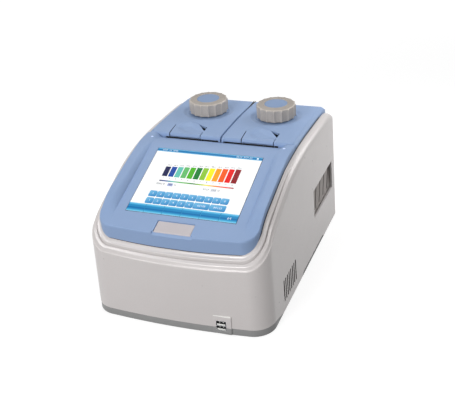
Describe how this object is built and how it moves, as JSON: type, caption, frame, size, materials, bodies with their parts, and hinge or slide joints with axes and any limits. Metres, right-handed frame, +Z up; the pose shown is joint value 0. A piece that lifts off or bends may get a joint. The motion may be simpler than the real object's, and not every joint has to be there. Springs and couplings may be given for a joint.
{
  "type": "dry block heater",
  "caption": "Bench dry block heater with two tube blocks under hinged heated lids, screw-down knobs, latches and a sloping touch panel.",
  "frame": {"origin": "on the bench under the middle of the footprint", "axes": "+X to the right of a person facing the screen, +Y towards the back wall, +Z up"},
  "size_m": [0.27, 0.38, 0.2196],
  "materials": {
    "silver_plastic": "fine satin silver-grey paint on moulded plastic",
    "grey_plastic": "plain mid-grey moulding",
    "black_rubber": "matt",
    "bright_steel": "plated steel",
    "blue_plastic": "fine satin light blue moulding",
    "screen_face": "lit touch screen under smooth glass",
    "tinned_steel": "plain zinc-coated sheet",
    "pale_plate": "satin pale grey plate",
    "lamp_lens": "clear lens, lit white",
    "black_plastic": "moulded black",
    "circuit_board": "green board with dark parts",
    "dark_deck": "fine dark coating",
    "block_metal": "bead-blasted and anodised",
    "white_ceramic": "plain white ceramic faces",
    "sink_metal": "plain extruded",
    "louvre_plastic": "grey-brown moulding",
    "back_paint": "fine textured paint",
    "pin_brass": "plated contact",
    "switch_red": "dark red rocker",
    "liner_plastic": "white heat-proof plastic",
    "plate_metal": "dark-coated heater face",
    "knob_plastic": "satin warm grey metallic",
    "spring_steel": "spring wire"
  },
  "bodies": {
    "cabinet": {"upper_housing": "silver_plastic", "base_tray": "grey_plastic", "rubber_feet": "black_rubber", "base_screws": "bright_steel", "control_panel": "blue_plastic", "touch_glass": "screen_face", "display_module": "tinned_steel", "panel_plate": "pale_plate", "status_light_left": "lamp_lens", "status_light_right": "lamp_lens", "data_ports": "bright_steel", "port_tongues": "black_plastic", "main_board": "circuit_board", "power_supply": "tinned_steel", "driver_board": "circuit_board", "deck": "dark_deck", "strikers": "bright_steel", "well_block_left": "block_metal", "well_block_right": "block_metal", "peltier_left": "white_ceramic", "peltier_right": "white_ceramic", "heat_sink_left": "sink_metal", "heat_sink_right": "sink_metal", "fan_frame_left": "black_plastic", "fan_frame_right": "black_plastic", "side_louvre_left": "louvre_plastic", "side_louvre_right": "louvre_plastic", "back_panel": "back_paint", "power_inlet": "black_plastic", "inlet_pins": "pin_brass", "switch_pin": "bright_steel", "hinge_bracket_left": "tinned_steel", "hinge_bracket_right": "tinned_steel", "hinge_pin_left": "bright_steel", "hinge_pin_right": "bright_steel"},
    "lid_left_body": {"lid_left": "blue_plastic", "lid_liner_left": "liner_plastic", "latch_pin_left": "bright_steel", "latch_spring_left": "spring_steel"},
    "knob_left_body": {"knob_left": "knob_plastic", "knob_cap_left": "blue_plastic", "spindle_left": "bright_steel"},
    "heater_left_body": {"heated_plate_left": "plate_metal"},
    "latch_left_body": {"latch_left": "blue_plastic"},
    "rotor_left_body": {"fan_rotor_left": "black_plastic"},
    "lid_right_body": {"lid_right": "blue_plastic", "lid_liner_right": "liner_plastic", "latch_pin_right": "bright_steel", "latch_spring_right": "spring_steel"},
    "knob_right_body": {"knob_right": "knob_plastic", "knob_cap_right": "blue_plastic", "spindle_right": "bright_steel"},
    "heater_right_body": {"heated_plate_right": "plate_metal"},
    "latch_right_body": {"latch_right": "blue_plastic"},
    "rotor_right_body": {"fan_rotor_right": "black_plastic"},
    "switch_body": {"power_switch": "switch_red"},
    "fuse_drawer_body": {"fuse_drawer": "black_plastic"}
  },
  "joints": [
    {"name": "lid_left_hinge", "type": "hinge", "parent": "cabinet", "child": "lid_left_body", "pos_m": [-0.0566, 0.176, 0.181], "axis": [-1, 0, 0], "range_deg": [0, 78]},
    {"name": "knob_left_turn", "type": "hinge", "parent": "lid_left_body", "child": "knob_left_body", "pos_m": [-0.0566, 0.1207, 0.21], "axis": [0, 0, -1], "range_deg": [0, 720]},
    {"name": "heated_plate_left_press", "type": "slide", "parent": "lid_left_body", "child": "heater_left_body", "axis": [0, 0, -1], "range_m": [0, 0.0041]},
    {"name": "latch_left_pull", "type": "hinge", "parent": "lid_left_body", "child": "latch_left_body", "pos_m": [-0.058, 0.03, 0.19], "axis": [1, 0, 0], "range_deg": [0, 14], "stiffness_Nm_per_rad": 0.25, "springref_deg": -20.05},
    {"name": "fan_left_spin", "type": "hinge", "parent": "cabinet", "child": "rotor_left_body", "pos_m": [-0.0566, 0.117, 0.093], "axis": [0, 0, 1], "continuous": true},
    {"name": "lid_right_hinge", "type": "hinge", "parent": "cabinet", "child": "lid_right_body", "pos_m": [0.0566, 0.176, 0.181], "axis": [-1, 0, 0], "range_deg": [0, 78]},
    {"name": "knob_right_turn", "type": "hinge", "parent": "lid_right_body", "child": "knob_right_body", "pos_m": [0.0566, 0.1207, 0.21], "axis": [0, 0, -1], "range_deg": [0, 720]},
    {"name": "heated_plate_right_press", "type": "slide", "parent": "lid_right_body", "child": "heater_right_body", "axis": [0, 0, -1], "range_m": [0, 0.0041]},
    {"name": "latch_right_pull", "type": "hinge", "parent": "lid_right_body", "child": "latch_right_body", "pos_m": [0.058, 0.03, 0.19], "axis": [1, 0, 0], "range_deg": [0, 14], "stiffness_Nm_per_rad": 0.25, "springref_deg": -20.05},
    {"name": "fan_right_spin", "type": "hinge", "parent": "cabinet", "child": "rotor_right_body", "pos_m": [0.0566, 0.117, 0.093], "axis": [0, 0, 1], "continuous": true},
    {"name": "power_switch_rock", "type": "hinge", "parent": "cabinet", "child": "switch_body", "pos_m": [-0.078, 0.184, 0.0605], "axis": [-1, 0, 0], "range_deg": [0, 16]},
    {"name": "fuse_drawer_slide", "type": "slide", "parent": "cabinet", "child": "fuse_drawer_body", "axis": [0, 1, 0], "range_m": [0, 0.022]}
  ],
  "couplings": [
    {"joint": "heated_plate_left_press", "follows": "knob_left_turn", "m_per_rad": 0.000318},
    {"joint": "heated_plate_right_press", "follows": "knob_right_turn", "m_per_rad": 0.000318}
  ]
}
